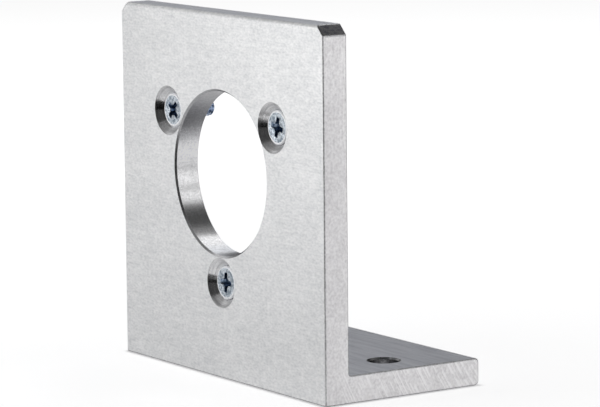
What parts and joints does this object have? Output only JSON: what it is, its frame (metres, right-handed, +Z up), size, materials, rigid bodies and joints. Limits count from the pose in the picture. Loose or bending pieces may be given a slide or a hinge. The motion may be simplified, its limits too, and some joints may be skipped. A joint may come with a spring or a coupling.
{
  "type": "sensor mounting bracket",
  "caption": "Angle bracket that holds a round sensor by its face: a plate with a spigot bore and countersunk flange screws, on a foot with fixing holes.",
  "frame": {"origin": "middle of the bracket's footprint, on the underside of the foot", "axes": "+X across the bracket, +Y from the front of the plate towards the end of the foot and along the spigot bore, +Z up the plate"},
  "size_m": [0.08, 0.04, 0.08],
  "materials": {
    "mill_aluminium": "mill-finish extrusion with a fine grain, sawn sides, bored holes",
    "zinc_plated_steel": "bright zinc plating with a bluish tint"
  },
  "bodies": {
    "root": {"bracket": "mill_aluminium", "flange_screws": "zinc_plated_steel"}
  },
  "joints": []
}
